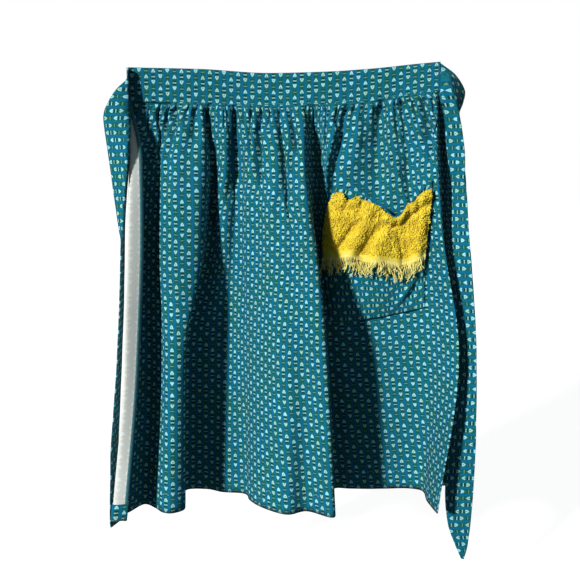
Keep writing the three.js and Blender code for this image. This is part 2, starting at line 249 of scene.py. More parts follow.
def mixed(share, first, second):
    """Two colours mixed by a share. The first one is a signal."""
    made = first.tree.nodes.new("ShaderNodeMix")
    made.data_type = "RGBA"
    for socket, value in zip((made.inputs[0], made.inputs[6], made.inputs[7]), (share, first, second)):
        put(first.tree, socket, value)
    return Signal(first.tree, made.outputs[2])


def plain(tree, colour):
    """One colour as a signal."""
    made = tree.nodes.new("ShaderNodeRGB")
    made.outputs[0].default_value = colour
    return Signal(tree, made.outputs[0])


def noise(vector, scale, detail, roughness=0.5, output="Fac"):
    made = vector.tree.nodes.new("ShaderNodeTexNoise")
    for label, value in (("Vector", vector), ("Scale", scale), ("Detail", detail), ("Roughness", roughness)):
        put(vector.tree, made.inputs[label], value)
    return Signal(vector.tree, made.outputs[output])


def axes_of(vector):
    """The x, y and z of a vector."""
    made = vector.tree.nodes.new("ShaderNodeSeparateXYZ")
    put(vector.tree, made.inputs[0], vector)
    return [Signal(vector.tree, socket) for socket in made.outputs]


def bumped(tree, shader, height, strength):
    """Raises a surface a little by a height signal."""
    made = tree.nodes.new("ShaderNodeBump")
    made.inputs["Strength"].default_value = strength
    made.inputs["Distance"].default_value = 0.5 * mm
    put(tree, made.inputs["Height"], height)
    put(tree, shader.inputs["Normal"], made)


def shader_group(name, measures, results):
    """A shader node group that takes a flat place and the named measures: its tree, its inputs as
    signals by their names, and the sockets of its results."""
    tree = bpy.data.node_groups.new(name, "ShaderNodeTree")
    tree.interface.new_socket("Flat", in_out="INPUT", socket_type="NodeSocketVector")
    for label, value in measures.items():
        tree.interface.new_socket(label, in_out="INPUT", socket_type="NodeSocketFloat").default_value = value
    for label, kind in results.items():
        tree.interface.new_socket(label, in_out="OUTPUT", socket_type=kind)
    given = {socket.name: Signal(tree, socket) for socket in tree.nodes.new("NodeGroupInput").outputs}
    return tree, given, tree.nodes.new("NodeGroupOutput").inputs


# The print: columns of a small dome, an H-shaped bar, a cup and a thin bar, pale on teal, each
# column a quarter repeat lower than the one to its left. Its colours are shared by every piece.
ground_blue = (0.0015, 0.135, 0.275, 1)
ground_green = (0.003, 0.12, 0.105, 1)
print_dark = (0.001, 0.014, 0.016, 1)
print_white = (0.33, 0.75, 0.93, 1)
print_cream = (0.38, 0.67, 0.56, 1)
print_lime = (0.2, 0.34, 0.1, 1)
tree, given, printed = shader_group(
    "cotton print",
    {"Column pitch": 8.5 * mm, "Repeat": 26.3 * mm, "Motif width": 4.7 * mm, "Ragged edge": 0.5 * mm},
    {"Color": "NodeSocketColor", "Ink": "NodeSocketFloat"},
)
print_group = tree
wobble = noise(given["Flat"], 520, 1.0, output="Color")
centred = maths("SUBTRACT", wobble, (0.5, 0.5, 0.5), kind="ShaderNodeVectorMath")
ragged = maths("MULTIPLY_ADD", centred, given["Ragged edge"], given["Flat"], kind="ShaderNodeVectorMath")
ragged_x, ragged_y, _ = axes_of(ragged)
across = ragged_x / given["Column pitch"]
column = maths("FLOOR", across)
# Half widths run from -1 to 1 over a motif, heights are in shares of the repeat.
beside = abs((across - column - 0.5) * given["Column pitch"] / given["Motif width"] * 2.0)
lowered = ragged_y / given["Repeat"] - column * 0.25
within = lowered - maths("FLOOR", lowered)

chance_at = tree.nodes.new("ShaderNodeCombineXYZ")
put(tree, chance_at.inputs["X"], column)
put(tree, chance_at.inputs["Y"], maths("FLOOR", lowered * 4.0))
chance_node = tree.nodes.new("ShaderNodeTexWhiteNoise")
chance_node.noise_dimensions = "2D"
put(tree, chance_node.inputs["Vector"], chance_at)
chance = Signal(tree, chance_node.outputs["Value"])

motif_half = 0.083


def motif(place, side, belly, blunt):
    """A dome (side 1) or a cup (side -1) at a place in the repeat: flat at one end, round at the other."""
    share = ((place - within) * side + motif_half) / (2 * motif_half)
    full = maths("MAXIMUM", share, 0.0) ** belly
    width = maths("MAXIMUM", 1.0 - full, 0.0) ** blunt
    return rise(width - beside, -0.06, 0.1) * rise(share, -0.04, 0.06), share


def bar(place, half_height, half_width, flare=0.0):
    """A short bar across the column, a little taller at its ends by flare."""
    tall = maths("MULTIPLY_ADD", beside * beside, flare, half_height)
    in_height = rise(tall - abs(within - place), -0.006, 0.01)
    return in_height * rise(beside, half_width, half_width - 0.15)


def spot(share, middle, tall, wide):
    """A small dark mark inside a motif."""
    up, out = (share - middle) / tall, beside / wide
    return rise(maths("SQRT", out * out + up * up), 1.25, 0.7)


dome_place, bar_place, cup_place, thin_place = 0.15, 0.377, 0.637, 0.868
dome, dome_share = motif(dome_place, 1.0, 2.1, 0.62)
cup, cup_share = motif(cup_place, -1.0, 1.7, 0.8)
marks = spot(dome_share, 0.36, 0.2, 0.24) + spot(cup_share, 0.22, 0.26, 0.2)
often = rise(chance, 0.2, 0.45, 0.25, 0.8)
whites = maths("MINIMUM", dome + cup, 1.0) * (1.0 - marks * often)
thick_bar = bar(bar_place, 0.022, 0.92, 0.014)
thin_bar = bar(thin_place, 0.019, 0.94)
thick_shadows = bar(bar_place - 0.066, 0.03, 0.95) + bar(bar_place + 0.07, 0.03, 0.9)
thin_shadows = bar(thin_place - 0.06, 0.028, 0.9) + bar(thin_place + 0.06, 0.028, 0.85)
shadow_bars = thick_shadows + thin_shadows * 0.7
drift = noise(given["Flat"], 26, 3.0)
green_share = rise(beside, 1.62, 1.05) * rise(drift, 0.3, 0.7, 0.6, 1.0)
colour = mixed(green_share, plain(tree, ground_blue), ground_green)
colour = mixed(shadow_bars * 0.8, colour, print_dark)
colour = mixed(thin_bar * 0.85, colour, print_lime)
colour = mixed(thick_bar * 0.8, colour, print_cream)
pale = mixed(rise(chance, 0.0, 1.0), plain(tree, print_white), print_cream)
put(tree, printed["Color"], mixed(whites * 0.93, colour, pale))
put(tree, printed["Ink"], maths("MAXIMUM", whites, maths("MAXIMUM", thick_bar, thin_bar)))

# Plain weave: single threads over and under one another, as a height and a shade for the colour: painted
# shade in the gaps between the threads, with a fine random tone.
weave_group, given, woven = shader_group(
    "plain weave", {"Thread pitch": 0.45 * mm}, {"Height": "NodeSocketFloat", "Shade": "NodeSocketFloat"}
)
over = [maths("SINE", axis / given["Thread pitch"] * math.pi) for axis in axes_of(given["Flat"])[:2]]
crossed = over[0] * over[1]
put(weave_group, woven["Height"], maths("MULTIPLY_ADD", crossed, 0.5, 0.5))
# Painted shade: the colour is darkest where the threads meet and dip under one another.
shade = maths("MULTIPLY_ADD", abs(crossed), 0.16, 0.86)
put(weave_group, woven["Shade"], shade * rise(noise(given["Flat"], 900, 3.0), 0.2, 0.8, 0.9, 1.1))


def placed(group, flat):
    """The results of a shader node group at a flat place."""
    made = flat.tree.nodes.new("ShaderNodeGroup")
    made.node_tree = group
    put(flat.tree, made.inputs["Flat"], flat)
    return {socket.name: Signal(flat.tree, socket) for socket in made.outputs}


wrong_side_pale = (1.0, 1.0, 0.93, 1)
selvedge_teal = (0.06, 0.19, 0.23, 1)


def cotton(name, printed=True, selvedge=False):
    """The apron's cotton seen from its printed side, or from its pale wrong side. With a selvedge
    the cloth beyond the left edge of the cut, at flat places below zero, carries no print."""
    sheen = 0.02 if printed else 0.7
    material, tree, shader = new_material(name, Specular_IOR_Level=0.12, Sheen_Weight=sheen)
    laid_out = tree.nodes.new("ShaderNodeUVMap")
    laid_out.uv_map = "flat"
    flat = Signal(tree, laid_out.outputs[0])
    pattern = placed(print_group, flat)
    weave = placed(weave_group, flat)
    colour = pattern["Color"]
    if not printed:
        colour = mixed(0.72, colour, wrong_side_pale)
    if selvedge:
        bare = rise(axes_of(flat)[0], 1.2 * mm, 0.4 * mm, 0.0, 0.92)
        colour = mixed(bare, colour, selvedge_teal)
    # The print's colour is darkened by the weave's painted shade between the threads and by a broad random
    # wash.
    shaded = tree.nodes.new("ShaderNodeVectorMath")
    shaded.operation = "SCALE"
    put(tree, shaded.inputs[0], colour)
    put(tree, shaded.inputs["Scale"], weave["Shade"] * rise(noise(flat, 9, 3.0), 0.25, 0.75, 0.92, 1.06))
    put(tree, shader.inputs["Base Color"], Signal(tree, shaded.outputs[0]))
    put(tree, shader.inputs["Roughness"], maths("MULTIPLY_ADD", pattern["Ink"], -0.08, 0.9))
    slubs = noise(flat, 240, 4.0, 0.6)
    bumped(tree, shader, maths("MULTIPLY_ADD", slubs, 0.9, weave["Height"] * 0.35), 0.35)
    return material


right_side = cotton("printed cotton")
wrong_side = cotton("cotton wrong side", printed=False)
skirt_side = cotton("printed cotton with a selvedge", selvedge=True)


def normals_of(grid):
    normal = np.cross(np.gradient(grid, axis=0), np.gradient(grid, axis=1))
    return normal / np.maximum(np.linalg.norm(normal, axis=2, keepdims=True), 1e-12)


def quads_of(ids):
    """The faces between the points of a grid of numbers."""
    return np.stack([ids[:-1, :-1], ids[1:, :-1], ids[1:, 1:], ids[:-1, 1:]], axis=-1).reshape(-1, 4)


def cloth_shell(name, grid, flat, wall, materials):
    """A cloth of some thickness round a grid of points, as a closed mesh. The grid's rows run down
    and its columns to the right as seen from the front. flat is each point's place on the flat
    cut. The second material is for the back."""
    rows, cols = grid.shape[:2]
    half = normals_of(grid) * wall / 2
    points = np.concatenate([(grid + half).reshape(-1, 3), (grid - half).reshape(-1, 3)])
    ids = np.arange(rows * cols).reshape(rows, cols)
    front = quads_of(ids)
    back = (front + ids.size)[:, ::-1]
    edge = np.concatenate([ids[0, :-1], ids[:-1, -1], ids[-1, :0:-1], ids[:0:-1, 0]])
    after = np.roll(edge, -1)
    rim = np.stack([edge, after, after + ids.size, edge + ids.size], axis=-1)
    faces = np.concatenate([front, back, rim])
    mesh = bpy.data.meshes.new(name)
    mesh.from_pydata(points.tolist(), [], faces.tolist())
    places = np.concatenate([flat.reshape(-1, 2)] * 2)
    corners = np.empty(len(mesh.loops), int)
    mesh.loops.foreach_get("vertex_index", corners)
    mesh.uv_layers.new(name="flat").data.foreach_set("uv", places[corners].ravel())
    slots = np.zeros(len(faces), int)
    slots[len(front) : 2 * len(front)] = len(materials) - 1
    for material in materials:
        mesh.materials.append(material)
    mesh.polygons.foreach_set("material_index", slots)
    mesh.polygons.foreach_set("use_smooth", np.ones(len(faces), bool))
    mesh.update()
    return linked(name, mesh)


def waves(seed, places, reach, height):
    """A sum of a few sines along one direction, for gentle puckers."""
    chance = np.random.default_rng(seed)
    total = np.zeros_like(places)
    for k in range(5):
        total += np.sin(2 * np.pi * places / (reach * chance.uniform(0.6, 1.6)) + chance.uniform(0, 6.28))
    return height * total / 2.5


# The strip goes up the front, over the top and down the back, with the skirt's raw edge inside.
band_cloth = 0.5 * mm
band_x = np.linspace(-band_length / 2, band_length / 2, 260)
turn_parts = [np.linspace(-1, -0.06, 26), np.linspace(-0.04, 0.04, 7), np.linspace(0.06, 1, 26)]
band_turn = np.concatenate(turn_parts)
band_up = (1 - np.abs(band_turn))[:, None]
band_top = band_edge(1, band_x) - 0.4 * mm
band_bottom = band_edge(2, band_x)
round_top = np.tanh(band_turn / 0.035)[:, None]
band_grid = np.zeros((len(band_turn), len(band_x), 3))
band_grid[..., 0] = band_x
band_grid[..., 2] = band_bottom + (band_top - band_bottom) * band_up
puckers = waves(4, band_x, 9 * mm, 0.45 * mm) * (1 - band_up) ** 3
sag = waves(3, band_x, 70 * mm, 0.5 * mm) * np.sin(np.pi * band_up)
band_stand = (band_thickness - band_cloth) / 2 * (0.72 + 0.28 * band_up**0.5)
band_grid[..., 1] = round_top * band_stand + sag + puckers
band_grid = band_grid[::-1]
band_flat = np.stack(np.broadcast_arrays(band_x, band_turn[::-1, None] * band_height), axis=-1)
band_piece = cloth_shell("waistband_cloth", band_grid[:, ::-1], band_flat[:, ::-1], band_cloth, [right_side])
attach(band_piece, "root")
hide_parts("waistband")

# Skirt
# One wide panel of the cotton, gathered into the waistband. Its sides and its bottom edge are
# turned to the wrong side and stitched. It falls in a few deep folds, and its left margin rolls
# forward so that the pale wrong side shows.
skirt_drop = 480 * mm
fold_depth = 100 * mm
seam_gap = 0.5 * mm
skirt_cloth = 0.5 * mm
levels = [0, 0.15, 0.35, 0.62, 1]
curve_steps = 24

# Each ridge, valley or turn from left to right: its place at each level as a share of the band's
# length, and how far it stands toward the viewer as a share of fold_depth.
fold_table = {
    "side edge": ([-0.478, -0.445, -0.437, -0.447, -0.486], [0.04, 0.34, 0.58, 0.82, 1.05]),
    "roll front": ([-0.486, -0.482, -0.483, -0.489, -0.53], [0.02, 0.4, 0.69, 0.92, 1.07]),
    "roll back": ([-0.485, -0.481, -0.482, -0.488, -0.53], [0, 0.33, 0.62, 0.84, 0.98]),
    "behind roll": ([-0.474, -0.466, -0.466, -0.47, -0.492], [-0.01, 0.16, 0.44, 0.68, 0.79]),
    "left valley": ([-0.445, -0.435, -0.443, -0.445, -0.452], [-0.01, 0.02, 0.2, 0.42, 0.53]),
    "A foot": ([-0.374, -0.393, -0.402, -0.393, -0.412], [-0.01, 0.04, 0.24, 0.5, 0.66]),
    "A left": ([-0.334, -0.394, -0.393, -0.374, -0.384], [0.03, 0.16, 0.38, 0.64, 0.8]),
    "A top": ([-0.305, -0.322, -0.328, -0.342, -0.357], [0.06, 0.3, 0.53, 0.73, 0.83]),
    "A right": ([-0.273, -0.252, -0.26, -0.313, -0.321], [0.03, 0.2, 0.4, 0.68, 0.72]),
    "A wall": ([-0.258, -0.242, -0.259, -0.32, -0.322], [0.01, 0.08, 0.2, 0.4, 0.5]),
    "A valley": ([-0.239, -0.232, -0.25, -0.324, -0.331], [0, -0.02, 0.01, 0.02, 0.03]),
    "small ridge": ([-0.199, -0.19, -0.202, -0.248, -0.26], [0.04, 0.12, 0.13, 0.02, 0.01]),
    "small valley": ([-0.165, -0.157, -0.165, -0.18, -0.211], [0, 0, 0.04, 0.07, 0.11]),
    "B foot": ([-0.139, -0.133, -0.138, -0.136, -0.132], [0.02, 0.06, 0.1, 0.14, 0.18]),
    "B left": ([-0.122, -0.122, -0.123, -0.111, -0.113], [0.05, 0.17, 0.24, 0.3, 0.4]),
    "B shoulder": ([-0.084, -0.073, -0.07, -0.064, -0.071], [0.06, 0.28, 0.42, 0.54, 0.64]),
    "B middle": ([-0.02, -0.003, 0.003, 0.009, 0.012], [0.06, 0.38, 0.6, 0.79, 0.87]),
    "B dip": ([0.025, 0.037, 0.062, 0.062, 0.07], [0.05, 0.38, 0.66, 0.84, 0.76]),
    "B ridge": ([0.06, 0.063, 0.096, 0.129, 0.154], [0.06, 0.4, 0.68, 0.94, 0.96]),
    "B wall": ([0.073, 0.076, 0.1, 0.129, 0.157], [0.03, 0.18, 0.34, 0.48, 0.48]),
    "B valley": ([0.093, 0.103, 0.108, 0.137, 0.172], [0, -0.04, -0.04, -0.03, -0.02]),
    "left of pocket": ([0.144, 0.138, 0.153, 0.192, 0.223], [0.04, 0.09, 0.03, 0, -0.01]),
    "under pocket": ([0.217, 0.212, 0.221, 0.252, 0.284], [0.04, 0.08, 0.03, 0.01, 0]),
    "pocket valley": ([0.315, 0.307, 0.303, 0.318, 0.346], [0, 0.02, 0.03, 0.02, -0.01]),
    "right of pocket": ([0.358, 0.366, 0.371, 0.391, 0.421], [0.05, 0.09, 0.04, 0.03, -0.02]),
    "C foot": ([0.416, 0.437, 0.46, 0.478, 0.464], [0.04, 0.11, 0.12, 0.17, 0.06]),
    "C slope": ([0.441, 0.463, 0.484, 0.52, 0.468], [0.06, 0.17, 0.26, 0.4, 0.44]),
    "C ridge": ([0.467, 0.483, 0.505, 0.553, 0.485], [0.05, 0.22, 0.36, 0.58, 0.84]),
    "C back": ([0.479, 0.5, 0.514, 0.545, 0.484], [0.02, 0.08, 0.16, 0.28, 0.44]),
    "right valley": ([0.486, 0.512, 0.525, 0.55, 0.5], [-0.01, -0.04, -0.05, -0.06, -0.08]),
    "right edge": ([0.497, 0.56, 0.591, 0.612, 0.59], [-0.01, -0.05, -0.08, -0.12, -0.12]),
}
fold_names = list(fold_table)
fold_x = band_length * np.array([row[0] for row in fold_table.values()]).T
fold_out = fold_depth * np.array([row[1] for row in fold_table.values()]).T


def section_curve(t):
    """The skirt's plan curve at each height t, from 0 at the seam to 1 at the hem, through its fold
    points, as many short steps."""
    t = np.atleast_1d(np.asarray(t, float))
    points = np.stack([smooth_through(levels, fold_x, t), -smooth_through(levels, fold_out, t)], axis=-1)
    ends = [2 * points[:, :1] - points[:, 1:2], points, 2 * points[:, -1:] - points[:, -2:-1]]
    p = np.concatenate(ends, axis=1)
    gap = np.maximum(np.linalg.norm(np.diff(p, axis=1), axis=2, keepdims=True) ** 0.5, 1e-6)
    p0, p1, p2, p3 = p[:, :-3], p[:, 1:-2], p[:, 2:-1], p[:, 3:]
    d0, d1, d2 = gap[:, :-2], gap[:, 1:-1], gap[:, 2:]
    leave = ((p1 - p0) / d0 - (p2 - p0) / (d0 + d1) + (p2 - p1) / d1) * d1
    arrive = ((p2 - p1) / d1 - (p3 - p1) / (d1 + d2) + (p3 - p2) / d2) * d1
    u = (np.arange(curve_steps) / curve_steps)[None, None, :, None]
    p1, p2, leave, arrive = (a[:, :, None, :] for a in (p1, p2, leave, arrive))
    curve = (
        p1
        + leave * u
        + (3 * (p2 - p1) - 2 * leave - arrive) * u**2
        + (2 * (p1 - p2) + leave + arrive) * u**3
    )
    curve = curve.reshape(len(points), -1, 2)
    return np.concatenate([curve, points[:, -1:]], axis=1)


def lengths_along(curve):
    step = np.linalg.norm(np.diff(curve, axis=-2), axis=-1)
    return np.concatenate([np.zeros(step.shape[:-1] + (1,)), np.cumsum(step, axis=-1)], axis=-1)


skirt_width = float(lengths_along(section_curve(1.0))[0, -1])
skirt_cols = 470
skirt_rows = 92
seam_rows = 5
seam_allowance = 9 * mm
skirt_u = np.linspace(0, skirt_width, skirt_cols)
row_spread = 1.4
skirt_t = np.linspace(0, 1, skirt_rows) ** row_spread
t_rows = skirt_t[:, None]

# Where the folds lie in the flat cloth at each level, in millimetres from its left edge. Between
# them the cloth has its full width on the faces, and what is spare goes into the gathers.
cloth_table = {
    "side edge": (0, 0, 0, 0, 0),
    "roll back": (12, 20, 22, 23, 26),
    "A left": (130, 118, 116, 119, 119),
    "A right": (172, 177, 175, 147, 147),
    "A valley": (202, 207, 216, 216, 217),
    "small valley": (285, 284, 280, 275, 266),
    "B foot": (303, 297, 293, 303, 297),
    "B middle": (395, 388, 390, 400, 388),
    "B ridge": (438, 433, 445, 457, 452),
    "B valley": (480, 483, 521, 558, 552),
    "left of pocket": (548, 562, 573, 580, 571),
    "pocket valley": (646, 636, 631, 628, 617),
    "right of pocket": (684, 668, 659, 657, 646),
    "C ridge": (762, 732, 730, 745, 743),
    "right valley": (806, 776, 784, 812, 836),
    "right edge": (871, 871, 871, 871, 871),
}
cloth_at = mm * smooth_through(levels, np.array(list(cloth_table.values()), float).T, skirt_t)
cloth_at *= skirt_width / cloth_at[:, -1:]
anchors = np.array([fold_names.index(name) for name in cloth_table]) * curve_steps

# The larger gathers below the band, each a groove between two flatter faces. Columns: its place
# at the seam and at its lower end as shares of the band's length, how far down it runs as a share
# of the drop, and its depth in millimetres.
gather_table = [
    (-0.45, -0.452, 0.08, 6),
    (-0.416, -0.418, 0.16, 9),
    (-0.384, -0.386, 0.16, 9),
    (-0.352, -0.375, 0.26, 15),
    (-0.31, -0.312, 0.07, 6),
    (-0.281, -0.281, 0.13, 9),
    (-0.249, -0.218, 0.4, 15),
    (-0.2, -0.198, 0.07, 6),
    (-0.162, -0.168, 0.26, 15),
    (-0.126, -0.133, 0.09, 7),
    (-0.103, -0.122, 0.18, 9),
    (-0.0716, -0.084, 0.22, 10),
    (-0.045, -0.045, 0.06, 5),
    (-0.0168, 0.02, 0.3, 11),
    (0.025, 0.044, 0.13, 8),
    (0.067, 0.098, 0.3, 10),
    (0.0928, 0.11, 0.1, 6),
    (0.13, 0.128, 0.1, 7),
    (0.165, 0.158, 0.07, 6),
    (0.2024, 0.155, 0.32, 17),
    (0.232, 0.214, 0.18, 9),
    (0.2636, 0.251, 0.18, 10),
    (0.3152, 0.292, 0.32, 19),
    (0.3506, 0.366, 0.11, 8),
    (0.374, 0.418, 0.3, 15),
    (0.407, 0.432, 0.1, 6),
    (0.4409, 0.468, 0.18, 10),
    (0.4667, 0.474, 0.07, 6),
    (0.49, 0.484, 0.13, 7),
]


def fade(x):
    """Falls smoothly from 1 to 0 as x goes from 0 to 1."""
    x = np.clip(x, 0, 1)
    return 1 - x * x * (3 - 2 * x)


def hump(off, reach):
    """1 where off is 0, falling away smoothly on both sides."""
    return np.exp(-((off / reach) ** 2))


def blurred(rows, reach):
    """A short running mean along each row."""
    kernel = np.hanning(2 * reach + 3)[1:-1]
    kernel /= kernel.sum()
    padded = np.pad(rows, ((0, 0), (reach, reach)), mode="edge")
    return np.stack([np.convolve(row, kernel, mode="valid") for row in padded])


curves = section_curve(skirt_t)
arcs = lengths_along(curves)
anchor_arcs = arcs[:, anchors]
smooth_arc = np.stack([smooth_through(c, a, skirt_u) for c, a in zip(cloth_at, anchor_arcs)])

# Each groove's middle in the flat cloth, and the share of the cloth that dives into grooves.
in_groove = np.zeros((skirt_rows, skirt_cols))
dive = np.zeros_like(in_groove)
column_width = skirt_width / (skirt_cols - 1)
closing = 0.62
for top, end, drop, depth in gather_table:
    run = np.clip(skirt_t / drop, 0, 1)
    place = band_length * (top + (end - top) * run**0.8)
    deep = depth * mm * (1.15 + 0.35 * run) * fade((run - closing) / (1 - closing))
    deep *= 0.6 + 0.4 * (1 - fade(skirt_t / 0.02))
    for r in np.nonzero(deep > 0.2 * mm)[0]:
        reach = np.maximum.accumulate(curves[r, :, 0])
        at = np.interp(np.interp(place[r], reach, arcs[r]), smooth_arc[r], skirt_u)
        off = (skirt_u - at) / deep[r]
        inside = 1 / (1 + np.exp((np.abs(off) - 1) * deep[r] / (0.55 * column_width)))
        in_groove[r] = np.maximum(in_groove[r], inside)
        dive[r] += inside * np.tanh(off * deep[r] / (0.9 * column_width))

# The advance of each column along the plan curve: small inside a groove, full on a face. A share
# of each stretch between two folds makes it end where the fold is.
steepest = 0.84
advance = np.empty_like(in_groove)
for r in range(skirt_rows):
    full = np.gradient(smooth_arc[r], skirt_u)
    spare = np.clip(1 - full, 0, 1)
    have = blurred(in_groove[r : r + 1], 14)[0]
    share = np.clip(spare / np.maximum(have, 1e-3), 0, steepest)
    share = blurred(share[None], 8)[0]
    advance[r] = 1 - share * in_groove[r]
    for k in range(len(anchors) - 1):
        start, stop = np.searchsorted(skirt_u, (cloth_at[r, k], cloth_at[r, k + 1] + 1e-9))
        total = advance[r, start:stop].sum()
        if total > 0:
            want = full[start:stop].sum()
            advance[r, start:stop] *= want / total
place_along = np.cumsum((advance[:, 1:] + advance[:, :-1]) / 2 * column_width, axis=1)
place_along = np.concatenate([np.zeros((skirt_rows, 1)), place_along], axis=1)
place_along *= arcs[:, -1:] / place_along[:, -1:]
move_out = np.cumsum(dive * np.sqrt(np.clip(1 - np.clip(advance, 0, 1) ** 2, 0, 1)) * column_width, axis=1)
# What would build up over a longer stretch is taken back.
taken_back, taken_reach = 0.75, 22
move_out -= taken_back * blurred(move_out, taken_reach)

plan = np.empty((skirt_rows, skirt_cols, 2))
for r in range(skirt_rows):
    for axis in range(2):
        plan[r, :, axis] = np.interp(place_along[r], arcs[r], curves[r, :, axis])
tangent = np.stack([blurred(np.gradient(plan[..., axis], axis=1), 6) for axis in range(2)], axis=-1)
tangent /= np.maximum(np.linalg.norm(tangent, axis=2, keepdims=True), 1e-9)
outward = np.stack([tangent[..., 1], -tangent[..., 0]], axis=-1)
tallest_gather = 1.6 * mm
move_out = np.minimum(move_out, tallest_gather)

# Small puckers just below the seam, then long soft waves where the cloth is still spare. Columns:
# the seed, the shortest and longest wave across the flat cloth, and the height.
pocket_middle, pocket_reach = 0.112, 0.07
pocket_zone = np.exp(-(((plan[..., 0] - pocket_middle) / pocket_reach) ** 4))
pocket_zone = pocket_zone * (1 - fade((t_rows - 0.12) / 0.08)) * fade((t_rows - 0.55) / 0.1)
pucker_spacing = 40 * mm
pucker_count = int(skirt_width / pucker_spacing) + 4
pucker_runs = np.random.default_rng(21).uniform(0.035, 0.09, pucker_count)
pucker_run = smooth_through(np.arange(pucker_count) * pucker_spacing, pucker_runs, skirt_u)
sets = [
    (11, 9 * mm, 15 * mm, 1.5 * mm * fade(t_rows / pucker_run)),
    (12, 24 * mm, 52 * mm, 2.2 * mm * (1 - fade(t_rows / 0.12)) * fade((t_rows - 0.12) / 0.35)),
    (13, 60 * mm, 110 * mm, 2.4 * mm * (1 - fade(t_rows / 0.3)) * fade((t_rows - 0.4) / 0.6)),
]
for seed, shortest, longest, height in sets:
    knots = np.concatenate([[0], np.cumsum(np.random.default_rng(seed).uniform(shortest, longest, 200))])
    phase = 2 * np.pi * np.interp(skirt_u, knots, np.arange(len(knots)))
    move_out += height * np.cos(phase + 1.3 * np.sin(5 * t_rows + seed)) * (1 - 0.85 * pocket_zone)

# The seam holds them flat over its first millimetres.
held_over = 9 * mm
move_out *= 0.2 + 0.8 * (1 - fade(t_rows * skirt_drop / held_over))

# Where a fold's side goes straight back, a groove would cut through the next face.
facing = np.clip(2.4 * blurred(tangent[..., 0], 5) - 1.1, 0, 1)
plan = plan + outward * (move_out * blurred(facing, 4))[..., None]
seam = band_edge(2, plan[..., 0]) - seam_gap
skirt_grid = np.empty((skirt_rows, skirt_cols, 3))
skirt_grid[..., :2] = plan

# Under the band's ends the skirt reaches as far as the band does.
end_reach = 4.5 * mm
near_end = np.clip((np.abs(plan[..., 0]) / band_length - 0.445) / 0.03, 0, 1)
skirt_grid[..., 0] += np.sign(plan[..., 0]) * end_reach * near_end * fade(t_rows / 0.16)
skirt_grid[..., 2] = seam - t_rows * (skirt_drop + seam + band_height)
skirt_flat = np.stack(np.broadcast_arrays(skirt_u, t_rows * skirt_drop), axis=-1)

# The seam allowance goes on up inside the folded band.
allowance = np.repeat(skirt_grid[:1], seam_rows, axis=0)
allowance_flat = np.repeat(skirt_flat[:1], seam_rows, axis=0)
for k, up in enumerate(np.linspace(seam_allowance, seam_allowance / seam_rows, seam_rows)):
    pressed = math.exp(-up / (1.2 * mm))
    allowance[k, :, 1] *= 0.3 + 0.7 * pressed
    allowance[k, :, 1] = np.clip(allowance[k, :, 1], -0.2 * mm, 0.2 * mm)
    allowance[k, :, 2] += up
    allowance_flat[k, :, 1] -= up
skirt_grid = np.concatenate([allowance, skirt_grid])
skirt_flat = np.concatenate([allowance_flat, skirt_flat])

# The turned edges: the cloth goes on behind itself at the sides and at the bottom.
side_hem = 4.5 * mm
bottom_hem = 20 * mm
hem_gap = 1.3 * mm


def turned_under(sheets, axis, at_end, reach):
    """The grid, its normals and its flat places, with one margin carried on round to the back."""
    sheets = [np.moveaxis(sheet, axis, 0) for sheet in sheets]
    if at_end:
        sheets = [sheet[::-1] for sheet in sheets]
    grid, normal, flat = sheets
    step = np.linalg.norm(grid[0] - grid[1], axis=-1).mean()
    rows = []
    for distance in np.array([1.0, 0.6, 0.3, 0.1]) * reach:
        k = min(int(distance / step), len(grid) - 2)
        part = distance / step - k
        point, place = (sheet[k] * (1 - part) + sheet[k + 1] * part for sheet in (grid, flat))
        away = hem_gap * (1 - math.exp(-distance / (1.2 * mm)))
        rows.append((point - normal[k] * away, -normal[k], 2 * flat[0] - place))
    sheets = [np.concatenate([np.stack(extra), sheet]) for extra, sheet in zip(zip(*rows), sheets)]
    if at_end:
        sheets = [sheet[::-1] for sheet in sheets]
    return [np.moveaxis(sheet, 0, axis) for sheet in sheets]


skirt_sheets = [skirt_grid, normals_of(skirt_grid), skirt_flat]
for axis, at_end, reach in ((1, False, side_hem), (1, True, side_hem), (0, True, bottom_hem)):
    skirt_sheets = turned_under(skirt_sheets, axis, at_end, reach)
hemmed_grid, _, hemmed_flat = skirt_sheets
skirt_piece = cloth_shell("skirt_cloth", hemmed_grid, hemmed_flat, skirt_cloth, [skirt_side, wrong_side])
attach(skirt_piece, "root")
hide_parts("skirt")

# Pocket
# A patch of the same cotton with its print turned a quarter turn, sewn to the skirt at its sides
# and its foot. Its mouth sags to a V under the weight of the trim.
pocket_width = 134 * mm
pocket_height = 170 * mm
pocket_left = 45 * mm
pocket_top = 130 * mm
pocket_bulge = 18 * mm
pocket_gap = 2.1 * mm

# Columns: place from the left side to the right side, mouth and foot as shares of the height
# below the pocket's left top corner.
pocket_table = np.array(
    [
        (0, 0.02, 1.02),
        (0.24, 0.07, 1.01),
        (0.5, 0.17, 0.985),
        (0.61, 0.235, 0.97),
        (0.77, 0.147, 0.945),
        (0.93, 0.02, 0.915),
        (1, -0.02, 0.9),
    ]
)

# Columns: place from the mouth down to the foot, left and right side as shares of the width.
pocket_sides = np.array(
    [(0, 0.12, 0.99), (0.2, 0.03, 0.985), (0.42, 0, 0.965), (0.62, 0.02, 0.95), (1, 0.09, 0.95)]
)


def skirt_front(x, z):
    """How far the skirt stands toward the viewer at places right of fold B."""
    seam = band_edge(2, x) - seam_gap
    t = np.clip((seam - z) / (skirt_drop + seam + band_height), 0, 1)
    first = fold_names.index("B valley") * curve_steps
    curves = section_curve(t.ravel())[:, first:]
    out = [-np.interp(place, curve[:, 0], curve[:, 1]) for place, curve in zip(x.ravel(), curves)]
    return np.array(out).reshape(x.shape)


